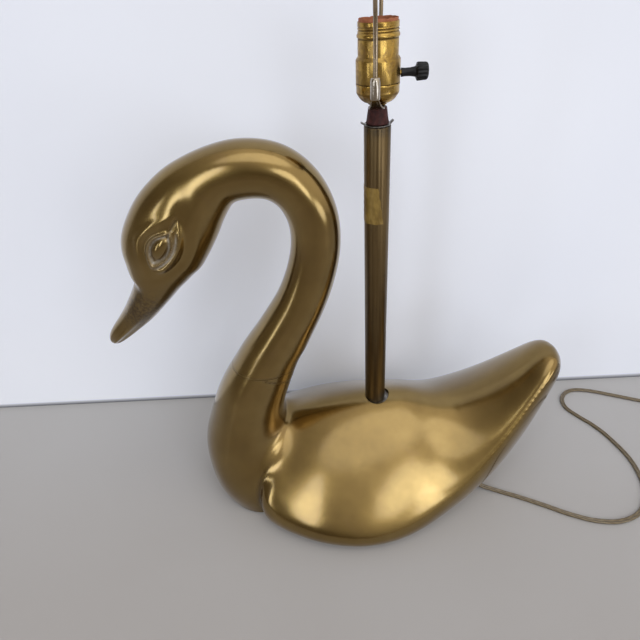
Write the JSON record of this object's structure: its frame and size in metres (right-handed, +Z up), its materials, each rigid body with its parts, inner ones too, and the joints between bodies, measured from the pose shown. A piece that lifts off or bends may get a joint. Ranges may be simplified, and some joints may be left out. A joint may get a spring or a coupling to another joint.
{
  "type": "swan table lamp",
  "caption": "Table lamp with a hollow cast brass swan as its base, a brass stem on the back, a lamp socket with a turn switch, a shade harp and a flat cord with a plug.",
  "frame": {"origin": "on the table, under the middle of the lamp's length, in the swan's plane of symmetry, the cord left out", "axes": "+Z up along the stem; the swan faces -X; +Y across the body, the swan's own right side"},
  "size_m": [0.7308, 0.25, 0.6996],
  "materials": {
    "cast_brass": "cast brass, polished once and gone warm and dull, with fine brush marks and pits",
    "stem_brass": "drawn brass tube with a dark antique finish and streaks along it",
    "socket_brass": "thin lacquered brass sheet, bright gold with brown tarnish",
    "harp_metal": "brass-plated steel wire and strip, worn to silver",
    "steel": "dull dark steel",
    "red_bushing": "dark red moulded bushing",
    "fibre_liner": "orange-brown fibre board",
    "black_phenolic": "black moulded phenolic with a soft gloss",
    "felt": "dark green felt",
    "clear_gold_cord": "clear gold plastic over two twisted copper strands",
    "plug_plastic": "moulded translucent gold-brown plastic",
    "black_rubber": "matt black rubber",
    "plug_blade": "nickel-plated brass blade"
  },
  "bodies": {
    "lamp": {"swan_body_shell": "cast_brass", "neck_head_shell": "cast_brass", "base_plate": "steel", "felt_pad": "felt", "stem_seat_washer": "steel", "stem_tube": "stem_brass", "threaded_pipe": "steel", "stem_nut_washer": "steel", "stem_nut": "steel", "tab_washer": "steel", "insulating_bushing": "red_bushing", "harp_saddle": "harp_metal", "socket_cap": "socket_brass", "socket_shell": "socket_brass", "socket_liner": "fibre_liner", "socket_interior": "black_phenolic", "screw_shell": "socket_brass", "centre_contact": "socket_brass", "terminal_screw_live": "socket_brass", "terminal_screw_neutral": "steel", "cord_bush": "black_rubber", "inner_cord": "clear_gold_cord", "cord": "clear_gold_cord", "cord_coil": "clear_gold_cord", "plug_body": "plug_plastic", "plug_blade_left": "plug_blade", "plug_blade_right": "plug_blade"},
    "switch_key": {"switch_shaft": "socket_brass", "switch_knob": "black_phenolic"},
    "harp": {"harp_wire": "harp_metal", "harp_crown": "harp_metal"},
    "ferrule_near": {"harp_ferrule_near": "harp_metal"},
    "ferrule_far": {"harp_ferrule_far": "harp_metal"},
    "shade_stud": {"shade_stud": "harp_metal", "finial": "socket_brass"}
  },
  "joints": [
    {"name": "switch_turn", "type": "hinge", "parent": "lamp", "child": "switch_key", "pos_m": [0.0381, 0, 0.4522], "axis": [1, 0, 0], "continuous": true},
    {"name": "harp_lift", "type": "slide", "parent": "lamp", "child": "harp", "axis": [0, 0, 1], "range_m": [0, 0.012]},
    {"name": "ferrule_near_slide", "type": "slide", "parent": "harp", "child": "ferrule_near", "axis": [0, 0, 1], "range_m": [0, 0.008]},
    {"name": "ferrule_far_slide", "type": "slide", "parent": "harp", "child": "ferrule_far", "axis": [0, 0, 1], "range_m": [0, 0.008]},
    {"name": "shade_swivel", "type": "hinge", "parent": "harp", "child": "shade_stud", "pos_m": [0.0381, 0, 0.675], "axis": [0, 0, 1], "continuous": true}
  ]
}
